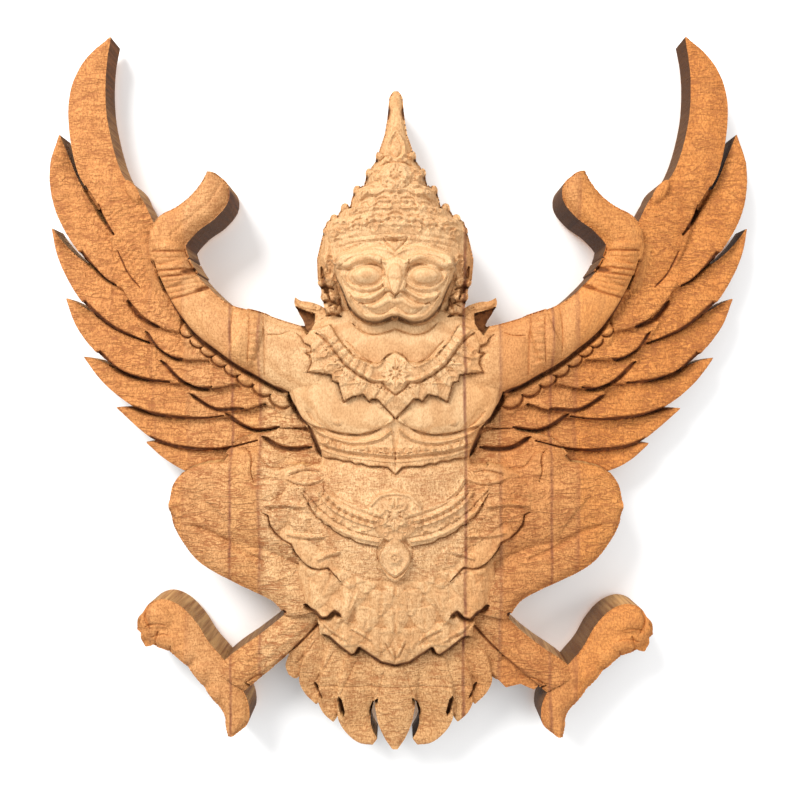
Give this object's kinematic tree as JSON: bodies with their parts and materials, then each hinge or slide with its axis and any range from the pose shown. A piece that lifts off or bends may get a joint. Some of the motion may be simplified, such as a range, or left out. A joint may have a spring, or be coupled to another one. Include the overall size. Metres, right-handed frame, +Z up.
{
  "type": "garuda wall relief",
  "caption": "Flat-backed carved wooden wall relief of a garuda: human body, raised hands, fanned wings, tiered crown, bird's legs and a spread tail.",
  "frame": {"origin": "middle of the flat back, half way between the wing tips", "axes": "the carving faces -Y, the flat back lies in y = 0 and faces +Y, +Z is up, and +X is the viewer's right"},
  "size_m": [0.4026, 0.056, 0.4068],
  "materials": {
    "wood": "matt, unpainted, freshly carved"
  },
  "bodies": {
    "root": {"garuda_carving": "wood"}
  },
  "joints": []
}
